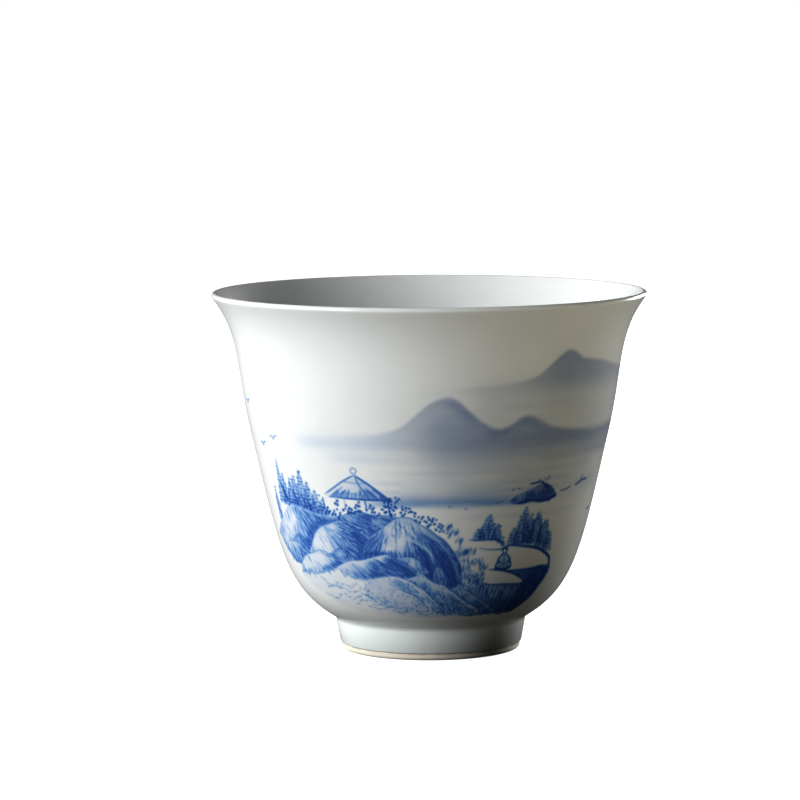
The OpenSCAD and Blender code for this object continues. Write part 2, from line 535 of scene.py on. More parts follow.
def rock(ridge, foot, crown, lit, pale=0.1, deep=0.34, spacing=0.52, reach=1.3, width=0.15, ink=0.72,
         edge=0.2, edge_ink=0.7, start=0.3, melt=None, under=0.3, hair=0):
    """A rock or bank in front of what is painted so far: a wash that leaves the lit spots
    (degrees, height, mm) pale, hatching over it, and a contour along its ridge. The wash deepens
    over a depth of under mm below the ridge, where short hairs hang hair mm apart, and it melts
    into the ground between the two heights of melt."""
    contour = flowing(wall(ridge))
    where, x, y, body = field(np.vstack([contour, flowing(wall(foot))]))
    scale = across(y.mean())
    top = np.interp(x, *contour[np.argsort(contour[:, 0])].T)
    shade = ramp(top - y, 0, under)
    keep = np.ones_like(body)
    if melt:
        low, clear = wall([(0, melt[0]), (0, melt[1])])[:, 1]
        keep *= ramp(y, low, clear)
    cobalt[where] *= 1 - 0.97 * body * keep
    for turn, h, size in lit:
        spot = wall([(turn, h)])[0]
        shade *= 1 - 0.85 * np.exp(-((((x - spot[0]) * scale) ** 2 + (y - spot[1]) ** 2) / size ** 2) ** 0.8)
    shade *= keep
    lay(where, body * keep * (pale + deep * shade ** 1.2) * (0.7 + 0.6 * mottle[where]))
    hatch(where, x, y, body, shade, crown, spacing, reach, width, ink)
    stroke(contour, edge, edge_ink, (start, 0.6), 0.12, 1.5)
    if hair:
        for turn in np.arange(contour[0, 0] + 2, contour[-1, 0], hair / scale):
            if brush.random() < 0.35:
                continue
            up = np.interp(turn, *contour[np.argsort(contour[:, 0])].T) - brush.uniform(0.2, 0.5)
            p = np.array([near(turn, 0.3), up])
            fall = np.array([brush.uniform(-0.25, 0.05) / scale, -brush.uniform(0.35, 0.75)])
            stroke(np.array([p, p + fall]), 0.15, near(0.36, 0.2), (0.8, 0.1))


def pine(top, foot_h, half_wide, ink, gap=0.6, wash=0.26, soft=0.12, taper=1.0):
    """A pine of short level dashes in rows over a pale wash. half_wide is in degrees, and the
    crown is a plain cone where taper is 1, and rounder where it is less."""
    turn, h = top
    tall = h - foot_h
    half = [(half_wide * part ** taper, h - tall * part) for part in (0, 0.15, 0.35, 0.6, 1)]
    outline = [(turn + x, y) for x, y in half] + [(turn - x, y) for x, y in half[:0:-1]]
    where, _, _, body = field(wall(outline), 8)
    lay(where, body * wash * (0.6 + 0.8 * mottle[where]))
    while h > foot_h:
        spread = half_wide * ((top[1] - h) / tall) ** taper
        place = turn - spread + brush.uniform(0, 0.8)
        while place <= turn + spread + 0.3:
            dab(near(place, 0.2), near(h, 0.1), near(0.45, 0.2), near(0.24, 0.05), near(ink, 0.25),
                near(-3, 12), soft)
            place += near(1.6, 0.3)
        h -= gap


def bush(turn, h, wide, high, ink=0.95, spacing=0.6, soft=0.14):
    """A bush of leaning dots in an oval of so many degrees and mm each way."""
    scale = across(wall([(turn, h)])[0, 1])
    count = max(1, round(3.6 * wide * scale * high / spacing ** 2))
    for i in range(count):
        out = math.sqrt((i + 0.5) / count)
        around = i * 2.4 + brush.uniform(-0.3, 0.3)
        dab(turn + wide * out * math.cos(around), h + high * out * math.sin(around),
            near(0.3, 0.12), near(0.39, 0.07), near(ink, 0.05), near(-40, 25), soft)


def reeds(turn, h, wide, high, count, ink, length=0.55, soft=0.2):
    """A clump of pale upright strokes, over a faint wash."""
    where, x, y, body = field(wall([(turn + wide * math.cos(a), h + high * math.sin(a))
                                    for a in np.arange(0, 6.28, 0.4)]), 10)
    lay(where, body * 0.25 * ink)
    for _ in range(count):
        a, out = brush.uniform(0, 6.28), math.sqrt(brush.random())
        dab(turn + wide * out * math.cos(a), h + high * out * math.sin(a), near(length, 0.2), 0.2,
            near(ink, 0.12), near(86, 10), soft)


# Mountains and water, far to near. Behind the cup they run on and fade out
range_of_hills([(-14, 45.2, 0), (-4, 45.6, 0.02), (6, 46.2, 0.05), (16, 46.5, 0.1), (26, 46.9, 0.14),
                (32, 47.6, 0.2), (36, 48.9, 0.25), (40, 50.6, 0.29), (43.5, 51.7, 0.3),
                (47, 51.2, 0.29), (51, 50.1, 0.27), (60, 49.4, 0.24), (76, 47.8, 0.18),
                (92, 46.4, 0.15), (106, 47, 0.15), (115, 48.8, 0.17), (121, 49.3, 0.17),
                (129, 48.2, 0.15), (142, 46.5, 0.1), (158, 45.6, 0.05), (176, 45.2, 0)], 0.45, 48, 43.5, 0.8)
range_of_hills([(-46, 38, 0), (-34, 38.2, 0.03), (-24, 38.5, 0.06), (-16, 38.9, 0.1), (-9, 40, 0.15),
                (-4, 42.1, 0.2), (-1, 43.5, 0.23), (2.5, 44.5, 0.27), (6, 44.8, 0.29),
                (9, 44, 0.32), (12, 42.4, 0.33), (16, 40.7, 0.33), (21, 39.5, 0.32), (25, 40, 0.32),
                (28, 41, 0.33), (31, 41.4, 0.33), (35, 40.7, 0.32), (41, 39.3, 0.29), (52, 38.4, 0.26),
                (66, 38, 0.17), (78, 38.4, 0.16), (90, 39.8, 0.17), (97, 40, 0.17), (106, 39, 0.14),
                (122, 38.1, 0.1), (142, 37.8, 0.05), (158, 37.6, 0)], 0.5, 39.5, 33.5, 0.72)
line([(4.5, 44), (7, 43.6), (9.5, 42.6), (12, 41.6), (15, 40.4)], 1.3, 0.09, (0.2, 0.2), 0.8)
line([(17, 39.2), (20, 38.9), (23, 39), (26, 39.4)], 1.0, 0.09, (0.2, 0.2), 0.8)
line([(28, 40.6), (31, 40.5), (34, 39.8), (38, 38.8)], 1.0, 0.07, (0.2, 0.2), 0.8)
for h, thick, left, right, ink in ((44, 3.5, 6, 96, 0.07), (36, 4.5, -8, 90, 0.12), (29, 2.2, 0, 80, 0.07),
                                   (37.2, 1.2, -52, 96, 0.06), (34.6, 0.8, -40, 84, 0.05),
                                   (32.4, 0.6, -20, 70, 0.04), (30.8, 0.5, -26, 60, 0.07),
                                   (29.4, 0.5, -24, 50, 0.09), (25.2, 0.7, 4, 66, 0.04)):
    water(h, thick, left, right, ink)
water(27.4, 0.9, -26, 44, 0.34, 1.6)
water(28.3, 0.6, -20, 40, 0.1)

# Far islands and birds
rock([(27, 27.4), (29, 28.2), (32, 28.7), (36, 29.3), (40, 30), (43, 29.5), (45, 28.7), (47, 27.8)],
     [(47, 27.7), (44, 27.2), (40, 27.1), (36, 27.4), (32, 27.1), (27, 27.3)],
     (33, 33), [(31, 28.2, 0.8), (38, 29, 0.6)], 0.36, 0.25, 0.5, 1.0, 0.17, 0.7, 0.14, 0.5)
line([(28, 27.1), (32, 27.1), (36, 27.4), (40, 27.1), (44, 27.3), (47, 27.8)], 0.5, 0.9, (0.2, 0.8), 0.16)
line([(34.5, 30.1), (37, 30.2), (39.5, 30.3), (41.5, 29.6), (44, 29)], 0.3, 0.8)
line([(39.5, 30.2), (43.5, 29.4), (46, 28.4), (47, 27.8)], 0.3, 0.7, (0.3, 0.9))
for turn in (38.5, 40.5, 41.5, 42.5):
    dab(turn, near(30.7, 0.2), near(0.5, 0.3), 0.18, 0.6, near(80, 14))
for turn, h in ((28.5, 29.4), (30.5, 29.5), (23, 27.4), (24.5, 27.5), (6.5, 27), (12, 26.6)):
    dab(turn, h, 0.4, 0.24, 0.5, near(0, 20), 0.2)
line([(49, 28.4), (52, 28.5), (55, 28.9)], 0.3, 0.45, soft=0.2)
line([(57, 28.9), (60, 29.3), (62, 29.6), (66, 29.5)], 0.45, 0.5, soft=0.25)
line([(60, 29.4), (61.5, 30.6)], 0.25, 0.45)
line([(73, 24.2), (75, 24), (77, 24.3)], 0.3, 0.6)
for turn, h, ink in ((-75, 42, 0.7), (-67, 35.4, 0.75), (-58.5, 36.8, 0.6), (118, 43, 0.5), (124, 41.6, 0.5)):
    line([(turn - 2.2, h + 0.25), (turn - 0.8, h + 0.35), (turn, h - 0.15)], 0.16, ink, (0.3, 0.8))
    line([(turn, h - 0.15), (turn + 1.0, h + 0.45), (turn + 2.4, h + 0.5)], 0.16, ink, (0.8, 0.3))

# Pines on the left
for top, foot_h, half_wide, ink in (((-65.5, 29), 22.8, 1.8, 0.5), ((-60, 33.2), 26, 3.0, 0.55),
                                    ((-57.5, 31), 25.8, 3.0, 0.6), ((-54, 30.8), 25.6, 3.2, 0.65),
                                    ((-51.5, 31.4), 25.6, 3.4, 0.65), ((-48, 32.4), 25.4, 4.0, 0.7),
                                    ((-45, 30.6), 25.2, 4.0, 0.7), ((-42, 29.2), 25, 3.8, 0.7),
                                    ((-39.5, 27.4), 24.8, 3.0, 0.65)):
    pine(top, foot_h, half_wide, ink, 0.56, 0.3)
for trunk in (((-66.5, 27), (-66, 25), (-64, 23)), ((-60.5, 29.8), (-58.6, 27.8), (-57, 26.4)),
              ((-59.4, 29), (-57.2, 27.2), (-56, 26.1)), ((-53, 28.6), (-51.6, 27), (-51, 25.9)),
              ((-48.6, 28.2), (-47.6, 26.7), (-47, 25.6)), ((-46, 27.4), (-45.2, 26.2), (-44.8, 25))):
    line(trunk, 0.3, 0.8)
for turn, h in ((-40, 28.2), (-39, 27.4), (-38.4, 26.8), (-37, 26.2)):
    dab(turn, h, 0.3, 0.28, 0.7, -10)

# Pavilion: a thatched roof with a knob on four posts
where, x, y, body = field(wall([(-37.2, 28.5), (-25, 32.1), (-13.4, 28.1), (-20, 28.1), (-36, 28.2)]))
lay(where, body * (0.08 + 0.16 * ramp(x, -28, -18) + 0.1 * ramp(-y, -27, -24)))
line([(-25.1, 32.0), (-29.5, 30.9), (-34, 29.5), (-37.6, 28.5)], 0.22, 0.8)
line([(-25, 32.0), (-20.5, 30.6), (-16.5, 29.2), (-13, 27.9)], 0.27, 0.95, (0.5, 0.9))
line([(-25.0, 31.9), (-23.8, 30.5), (-22.2, 29.2), (-21, 28.2)], 0.2, 0.8)
line([(-36, 28.2), (-30, 28.1), (-22, 28.0), (-13.2, 28.0)], 0.24, 0.95, (0.2, 1.0), grow=2)
line([(-29.6, 30.9), (-26, 30.7), (-24, 30.6)], 0.14, 0.55)
line([(-24, 30.6), (-21.5, 30.8)], 0.14, 0.4)
for i in range(27):
    low = -36 + 22 * (i + near(0.5, 0.3)) / 27
    lift = brush.uniform(0.16, 0.5) + 0.1 * math.sin(i)
    line([(low, 28.1), (low + (-25 - low) * lift * 0.5, 28.15 + 1.8 * lift),
          (low + (-25 - low) * lift, 28.15 + 3.6 * lift)], 0.16, near(0.75, 0.2), (1.0, 0.1))
for i in range(8):
    first, last = math.radians(45 * i), math.radians(45 * (i + 1.2))
    line([(-25.2 + 1.1 * math.sin(first), 32.7 + 0.5 * math.cos(first)),
          (-25.2 + 1.1 * math.sin(last), 32.7 + 0.5 * math.cos(last))], 0.18, 0.4, (0.7, 0.7))
for turn, top, low, ink in ((-38.6, 27.9, 26.2, 0.7), (-30, 28, 26.9, 0.25), (-22.2, 28, 26.3, 0.75),
                            (-14.2, 27.9, 25.6, 0.9)):
    line([(turn, top), (turn + 0.3, (top + low) / 2), (turn + 0.4, low)], 0.24, ink, (0.8, 0.6))

# Rocks behind the pavilion, with bushes along them
rock([(-40, 24.3), (-35, 24.7), (-31, 25.2), (-28, 25.7), (-24, 25.9), (-20, 25.5), (-15, 25.5), (-11, 25.2)],
     [(-9, 24.6), (-14, 22.8), (-22, 20), (-26, 18.5), (-28, 22), (-36, 23)],
     (-46, 30), [(-29, 24.6, 1.1), (-19.5, 24.4, 0.9)], 0.3, 0.3)
for turn, h, wide, high in ((-38, 25.9, 1.6, 0.8), (-35.5, 25.5, 1.8, 0.7), (-33, 26.8, 1.0, 0.9),
                            (-33, 25.2, 2.2, 0.5), (-29.2, 26.1, 1.8, 0.8), (-24.8, 26.8, 1.2, 1.1),
                            (-26.6, 26, 1.8, 0.4), (-20.2, 26.4, 2.0, 0.7), (-18, 25.8, 1.6, 0.4),
                            (-13.6, 26.8, 2.8, 1.5), (-10.8, 28.3, 1.4, 0.4), (-8.6, 26.3, 2.0, 0.9),
                            (-5.6, 26, 1.2, 0.6)):
    bush(turn, h, wide, high)

# The pale ground under everything near
where, x, y, body = field(wall([(-60, 16), (-62, 13.6), (-54, 11.4), (-44, 9.6), (-34, 8.6), (-14, 8),
                                (10, 7.9),
                                (30, 8), (44, 9.4), (48, 13), (30, 15), (0, 16), (-30, 19)]), 14)
lay(where, body * (0.05 + 0.05 * ramp(x, -30, 0)) * (0.4 + 1.2 * streaks[where]))

# The left bluff
rock([(-72, 20), (-71, 21.4), (-64, 23.6), (-60, 25), (-56, 26), (-52.5, 26), (-48, 25.7), (-44, 25.2),
      (-39, 24.9), (-35, 24.5)],
     [(-36, 23.9), (-38, 23.5), (-42, 22.8), (-45.5, 21.5), (-48.5, 19.5), (-51.5, 18), (-60, 15.8),
      (-67, 17.4)],
     (-62, 33), [(-61, 22.6, 3.2), (-66, 19.5, 2.6), (-56.5, 24, 1.5)], 0.05, 0.32, edge_ink=0.5, start=0)
line([(-51.5, 18.2), (-48.6, 20.2), (-45.6, 22.2), (-41, 23.6), (-36, 24.2)], 1.5, 0.4, (0.5, 0.5), 1.0)
rock([(-62, 19.9), (-59, 20.2), (-56, 21), (-54, 20.8), (-51.5, 20.4), (-50, 19.6), (-49.4, 18.8)],
     [(-50.5, 18.2), (-54, 18.2), (-58, 19.2)], (-60, 24), [(-57, 20, 0.6)], 0.2, 0.3, edge=0.25)
rock([(-71, 19.8), (-66, 19.3), (-62, 19.6), (-57, 19.5), (-55, 18.8), (-52, 18)],
     [(-52.5, 17.6), (-56, 16.6), (-60, 16.2), (-65, 16.3), (-69, 18)],
     (-66, 24), [(-65, 18.8, 1.3), (-60, 18.9, 0.9)], 0.06, 0.34, edge=0.16, edge_ink=0.5)

# The middle rocks
rock([(-51.5, 18), (-48.5, 19.5), (-45.5, 21.5), (-42, 22.8), (-38, 23.5), (-34, 24.2), (-30.5, 24.2),
      (-26, 23.5), (-22, 22.8)],
     [(-22, 20), (-24, 18), (-30, 17.6), (-38, 18), (-46, 18.2)],
     (-54, 28), [(-45.4, 20, 2.1), (-42, 21.4, 2.0), (-41, 19.2, 1.7), (-36.5, 22.8, 0.9)], 0.04, 0.36,
     edge_ink=0.55, start=0)
line([(-28, 23), (-25.8, 21.2), (-25, 19.5), (-27, 18)], 1.5, 0.6, (0.4, 0.6), 1.0)
rock([(-40.5, 18.4), (-37.5, 18.9), (-35, 19.5), (-32.5, 19.2), (-31, 18.5), (-30.3, 17.8)],
     [(-31, 17.2), (-35, 17), (-39, 17.6)], (-42, 23), [(-35.5, 18.5, 0.6)], 0.2, 0.32, edge=0.24)
rock([(-55, 17.3), (-52.5, 17.8), (-49, 18.2), (-45.5, 18.8), (-42.5, 18.7), (-40.5, 18.4), (-38, 18),
      (-35, 17.6), (-33, 17.3)],
     [(-35.5, 16.6), (-39.5, 15.9), (-46.5, 14.9), (-54.5, 14.4), (-61, 14.4), (-59, 16)],
     (-56, 22), [(-50.5, 16.8, 2.6), (-45, 17.6, 2.0), (-57, 15.8, 2.2)], 0.04, 0.36, edge_ink=0.5)
line([(-46.5, 15.5), (-40, 16.3), (-35.5, 17)], 1.0, 0.42, (0.3, 0.8), 0.7)
for i in range(16):
    dab(-61 + i, near(14.7 + 0.02 * i, 0.25), near(0.4, 0.1), 0.2, near(0.4, 0.15), near(-35, 10), 0.2)

# The round rock in the middle
rock([(-26.5, 17.4), (-25.4, 19), (-24, 20.4), (-21.4, 21.8), (-17.6, 23.1), (-14, 24.4), (-11.6, 25.1),
      (-9, 25.3), (-6, 25), (-4, 24.2), (-1.5, 23.5), (1, 22.2), (4.5, 21.2), (7.5, 19.5), (9.5, 18.2),
      (11, 16.5), (12, 14.8), (12.6, 13.6)],
     [(10, 13), (4, 13.6), (-2, 15), (-8, 17), (-14, 18.2), (-21, 18.4)],
     (-11, 28), [(-9, 23.4, 2.5), (-11, 21, 1.7), (-15, 19.9, 1.2), (-13.4, 23, 1.2)], 0.05, 0.4, 0.52, 1.7)
line([(-5, 24.2), (-2.5, 23.2), (0.2, 22.1), (3.6, 20.7), (6.2, 19.1), (8.4, 17.5), (9.9, 15.9),
      (10.9, 14.4)],
     0.6, -0.5, (0.5, 0.6), 0.3)
line([(-3.5, 22.8), (-0.5, 21.8), (2.5, 21), (5, 19.7), (7, 18.1), (8.8, 16.5), (9.8, 15)], 0.24, 0.7)
line([(-1.5, 23.9), (1.4, 22.5), (4.8, 21.4), (7.8, 19.7), (9.8, 18.2), (11.3, 16.5), (12.3, 14.8)],
     0.3, 0.75)
line([(-4.2, 19.8), (-2.6, 18.6), (-1, 17)], 1.2, 0.45, (0.3, 0.6), 0.7)
line([(-6.4, 21.5), (-3, 20.5), (0, 19.3), (1.2, 17.6)], 0.5, -0.5, (0.6, 0.3), 0.25)
line([(-6.5, 21.1), (-4, 20.2), (-1.6, 19), (-0.4, 17.8), (0, 16.6)], 0.26, 0.8)
line([(-1, 17), (0.2, 16), (1.2, 14.8)], 1.7, 0.6, (0.6, 0.6), 0.9)
line([(2.6, 19.6), (5.6, 17.6), (7.8, 15.6), (9.2, 13.8)], 2.4, 0.55, (0.3, 0.9), 1.2)
line([(-24.6, 18.6), (-22, 19), (-18.6, 19), (-16, 19)], 0.8, 0.55, (0.4, 0.3), 0.6)
for i in range(15):
    dab(near(-17.6 + 0.8 * i, 0.2), near(19.1 - 0.03 * i, 0.25), near(0.9, 0.3), 0.2, 0.7, near(100, 10))
for turn, h in ((-10.8, 24), (-10, 23.7), (-8.4, 23), (-7.6, 22.4), (-13, 22.2), (-12.2, 21.2)):
    dab(turn, h, 0.6, 0.18, 0.6, near(112, 8))
rock([(-12, 18.3), (-9, 18.6), (-6.5, 18.6), (-3.5, 17.9), (-1.6, 16.9), (-0.6, 16)],
     [(-2, 15.8), (-4.5, 16), (-7, 16.7), (-10, 17.6)], (-9, 22), [(-6.4, 17.7, 0.9)], 0.14, 0.3, width=0.13)
rock([(1.2, 14.6), (1.3, 16), (2.3, 16.9), (3.6, 16.8), (5, 16), (6, 14.8), (6.3, 14)],
     [(4, 13.8), (2, 14.2)],
     (2, 20), [(2.7, 15.9, 0.8)], 0.28, 0.24, edge=0.16, edge_ink=0.5)
for turn, h, wide, high, ink in ((-3.4, 25, 1.6, 0.7, 0.95), (0.2, 24.6, 2.2, 1.0, 0.95),
                                 (3.4, 23.4, 1.8, 0.8, 0.85), (6.4, 22.4, 1.2, 0.5, 0.6)):
    bush(turn, h, wide, high, ink)

# The far shore on the right: reeds, a small point with a tree, and a long point with pines
for turn, h, wide, high, count, ink in ((11, 19.4, 2.4, 1.0, 22, 0.4), (14.5, 19.3, 2.5, 0.7, 20, 0.42),
                                        (10.2, 21.3, 1.6, 0.5, 9, 0.45), (13, 17.2, 2.8, 1.1, 26, 0.45),
                                        (17.5, 17.6, 2.6, 0.7, 18, 0.42), (15.4, 15.4, 3.0, 1.0, 28, 0.45),
                                        (19.6, 15, 2.2, 0.9, 14, 0.42), (16, 13.8, 3.4, 0.8, 22, 0.5),
                                        (8, 22.8, 2.2, 0.7, 12, 0.42), (6.2, 23.6, 1.4, 0.6, 8, 0.5)):
    reeds(turn, h, wide, high, count, ink)
for top, foot_h, half_wide, ink in (((17.4, 23.4), 21.5, 2.4, 0.5), ((20.6, 25.4), 21.4, 3.6, 0.65),
                                    ((24, 23.8), 21.2, 2.4, 0.55), ((31, 23.2), 20.3, 2.8, 0.6),
                                    ((34.4, 26.2), 20.2, 3.6, 0.65), ((37.4, 24.8), 20.1, 3.0, 0.65),
                                    ((40.6, 25.4), 19.9, 3.8, 0.7), ((44.4, 24), 19.2, 3.8, 0.7),
                                    ((47.6, 22), 18.4, 2.8, 0.6)):
    pine(top, foot_h, half_wide, ink, 0.48, 0.4, 0.2, 0.6)
for trunk in (((20.6, 24), (20.8, 22.6), (20.7, 21.4)), ((34.6, 24.6), (34.8, 22), (34.6, 20.3)),
              ((38.6, 24), (38.8, 22), (38.5, 20.2)), ((42, 23.6), (42.2, 21.6), (42, 19.8))):
    line(trunk, 0.26, 0.7, soft=0.2)
line([(13.5, 21.4), (17, 21.3), (21, 21.3), (24.5, 21.1), (27, 20.4)], 0.3, 0.8, (0.3, 0.6))
line([(24, 21.2), (26.4, 20.7), (27, 20)], 0.7, 0.6, (0.4, 0.4), 0.3)
ledge = [(18, 19.9), (22, 19.6), (27, 19.6), (30, 20.1), (36.5, 19.7), (43, 19.1), (48.5, 17.9),
         (51, 17), (51.8, 15.9)]
where, x, y, body = field(wall(ledge + [(47, 15.8), (41.5, 15.6), (32, 15.6), (25, 16)]))
cobalt[where] *= 1 - body
line(ledge, 0.5, 0.95, (0.25, 1.0), 0.15, 1.2)
where, x, y, body = field(wall([(25, 15.9), (32, 15.6), (41.5, 15.6), (47, 15.9), (51.8, 15.7), (52, 14.5),
                                (49.8, 12.5), (48, 10.8), (45.5, 9.2), (42, 8.2), (34, 8), (26, 8.2), (18, 9),
                                (12, 11.6), (14, 13.2), (20, 13.8)]), 4)
pale_patch = np.exp(-((x - 32) / 7) ** 2 - ((y - wall([(0, 12.2)])[0, 1]) / 1.5) ** 2)
cliff_shade = 0.4 + 0.5 * ramp(x, 22, 48) + 0.1 * ramp(-y, -11, -6) - 0.28 * pale_patch
cobalt[where] *= 1 - 0.7 * body
lay(where, body * cliff_shade * (0.8 + 0.4 * mottle[where]))
hatch(where, x, y, body, np.clip(cliff_shade + 0.3, 0, 1), (26, 40), 0.5, 1.2, 0.2, 0.7)
line([(51.6, 15.8), (51.8, 14.5), (49.6, 12.6), (47.8, 10.9), (45.2, 9.3)], 1.1, 0.75, (0.6, 0.3), 0.5)
line([(25, 16), (32, 15.7), (41.5, 15.7), (47, 15.9), (51, 15.8)], 0.4, 0.85)
tongue = [(22, 16.2), (27, 16), (33, 15.3), (37.5, 14.4), (39.8, 13.8)]
where, x, y, body = field(wall(tongue + [(38.5, 13.3), (31, 13.5), (24, 13.6), (21, 14)]))
cobalt[where] *= 1 - 0.95 * body
line(tongue, 0.34, 0.85, (0.3, 1.0))
line([(39.8, 13.8), (38.5, 13.3), (31, 13.5), (24, 13.6), (21, 14)], 0.22, 0.7)
for turn, h, wide, high, count in ((20, 16.6, 2.0, 0.5, 12), (18.4, 14.2, 2.2, 0.5, 12)):
    reeds(turn, h, wide, high, count, 0.42)

# Banks in front, the farthest first
rock([(8, 13), (10, 13.4), (11.4, 13.9), (13, 13), (15.5, 12.6), (19, 11.6), (23, 10.6), (27, 9.6),
      (31, 8.6)],
     [(26, 8.1), (14, 8.2), (10, 10.5)],
     (0, 22), [(12.5, 12.6, 0.8), (17, 11.6, 0.8)], 0.24, 0.34, 0.5, 0.9, under=0.8)
rock([(-38, 16.2), (-35.5, 16.8), (-31.5, 17.5), (-26.5, 17.8), (-22.5, 18.3), (-17, 19), (-14.5, 18.8),
      (-12, 18), (-7, 16.8), (-4.5, 15.4)],
     [(-6, 14.6), (-12, 14.8), (-19, 14.6), (-24, 14.3), (-28, 14), (-31, 14.6), (-36, 15.2)],
     (-46, 24), [(-33.5, 16.5, 2.2), (-27, 17.2, 1.2), (-19, 18.2, 0.7)], 0.08, 0.42, start=0.1,
     melt=(13.6, 15.6), under=0.9)
line([(-16, 18.2), (-12, 17.4), (-8.6, 16.4), (-6, 15.4)], 1.4, 0.6, (0.3, 0.6), 0.9)
line([(-31, 15.6), (-28, 14.9), (-23, 15.1), (-18, 15.7)], 0.9, 0.35, (0.4, 0.4), 0.8)
rock([(-9, 14.9), (-4.5, 15.5), (-3, 15.8), (-1, 15), (2, 14.2), (5.5, 13.8), (7.5, 13), (9.5, 12.5),
      (12.5, 11.5), (16, 10.5), (19.5, 9.8), (23, 8.8)],
     [(18, 8.2), (8, 8.2), (2, 8.8), (-2, 12.2), (-6, 13.9)],
     (-14, 24), [(-3.4, 14.9, 0.8), (1.5, 13.6, 0.9), (6, 13, 0.9)], 0.16, 0.26, 0.5, 0.7, melt=(7.4, 9.6),
     under=1.3, hair=0.5)
rock([(-27, 14), (-24, 14.5), (-19.5, 15), (-15, 15.3), (-12.5, 15.2), (-9.5, 14.8), (-6.5, 14.1),
      (-4.5, 13.5),
      (-2, 12.8), (0, 11.8), (3, 10.5), (4.6, 9.4)],
     [(0, 8.6), (-8, 8.6), (-18, 9), (-28, 11.6)],
     (-34, 22), [(-24, 12.8, 2.6), (-17.5, 13.6, 1.6), (-4, 12.4, 0.6)], 0.1, 0.2, 0.5, 0.55, 0.14, 0.55,
     start=0.1, melt=(8.2, 11.8), under=1.5, hair=0.5)
line([(-14.5, 14.3), (-11.5, 13.9), (-8.6, 13)], 1.1, 0.25, (0.3, 0.3), 0.8)
rock([(-19.5, 12.3), (-16.5, 12.8), (-12, 13), (-10.5, 12.6), (-6.5, 12), (-3.5, 10.8), (-1, 9.4)],
     [(-4, 8.4), (-12, 8.2), (-20, 9.4)],
     (-24, 22), [(-15, 11.6, 1.6), (-9, 11, 0.9)], 0.1, 0.17, 0.55, 0.5, 0.14, 0.5, start=0.1,
     melt=(7.8, 11), under=1.3, hair=0.5)

# Grass on the ground: rows of small slanting touches
for start, low, end, high in ((-50, 14, -38, 12.4), (-46, 12.9, -30, 13.4), (-40, 12.2, -24, 12.6),
                              (-49, 10.9, -40, 11), (-38, 11.2, -22, 11.6), (-34, 10.4, -18, 10.6),
                              (-28, 9.4, -10, 9.8), (-16, 9, 4, 9.4), (-6, 8.6, 12, 9)):
    for turn in np.arange(start, end, 1.1):
        h = low + (high - low) * (turn - start) / (end - start) + 0.35 * math.sin(0.6 * turn)
        dab(near(turn, 0.4), near(h, 0.22), near(0.36, 0.12), 0.2, near(0.42, 0.16), near(-28, 14), 0.18)

# A figure seated on the long point
where, x, y, body = field(wall([(27.9, 18.6), (30.2, 17.9), (31.2, 16.5), (28.4, 16.2), (25.4, 16.5),
                                (26, 17.9)]), 3)
lay(where, body * 0.3)
for points, width, ink in ((((26.9, 19.4), (28, 19.8), (29.1, 19.4)), 0.42, 0.9),
                           (((27.2, 19.3), (27.5, 18.8), (28.5, 18.8), (28.8, 19.3)), 0.26, 0.8),
                           (((27.5, 18.7), (26.2, 18.2), (25.7, 17.6), (26.6, 17.3)), 0.3, 0.85),
                           (((28.7, 18.7), (30, 18.2), (30.8, 17.6), (29.8, 17.3)), 0.3, 0.85),
                           (((26.2, 17.5), (25.2, 17), (25.2, 16.5)), 0.3, 0.85),
                           (((30.4, 17.5), (31.4, 17), (31.4, 16.4)), 0.3, 0.85),
                           (((25, 16.5), (26.6, 16.2), (29, 16.15), (31.5, 16.4)), 0.46, 0.95),
                           (((26.6, 17.3), (28.2, 17.1), (29.8, 17.3)), 0.24, 0.7),
                           (((28, 18.6), (28.2, 17.9), (28.1, 17.3)), 0.18, 0.6),
                           (((26, 16.8), (28.2, 16.7), (30.6, 16.8)), 0.22, 0.6)):
    line(points, width, ink, (0.6, 0.6))

ROW, COLUMNS = 0.7, 240     # rows of the shell, in mm up the wall, and steps around it
NECK_END = 2.4              # rows are closer below this place up the wall, in mm
SKIN = 0.12                 # depth in mm within which a point counts as on the outside
FAR_WASH_AND_SHADE_HEIGHT = (26 * mm, 31 * mm)     # the greyer, darker ramp, partly painted shade, comes in between these heights
FAR_WASH_AND_SHADE_SIDE = (-9 * mm, -3 * mm)       # and between these places across the cup, towards its shaded right side
COBALT_STOPS = ((0.0, (1, 1, 1)), (0.12, (0.66, 0.74, 0.88)), (0.25, (0.42, 0.57, 0.83)),
                (0.45, (0.17, 0.36, 0.72)), (0.7, (0.05, 0.15, 0.52)), (1.0, (0.01, 0.035, 0.27)))
# The far wash's ramp: greyer than the cobalt, partly its own grey and partly painted shade of the cup's
# shaded right side
FAR_WASH_AND_SHADE_STOPS = ((0.0, (1, 1, 1)), (0.12, (0.67, 0.71, 0.79)), (0.25, (0.42, 0.48, 0.63)),
             (0.45, (0.19, 0.27, 0.48)), (0.7, (0.06, 0.11, 0.34)), (1.0, (0.01, 0.03, 0.22)))
# Stretches with fine brushwork: degrees from and to, heights from and to
FINE_WORK = ((-72, 64, 7.4, 28.6), (-69, -10, 28, 33.6), (24, 68, 28, 31.4), (-79, -54, 34.4, 43.2),
             (71, 79, 23, 25.4), (114, 128, 40, 44.6))
SOFT_WORK = ((-20, 140, 37, 53),)


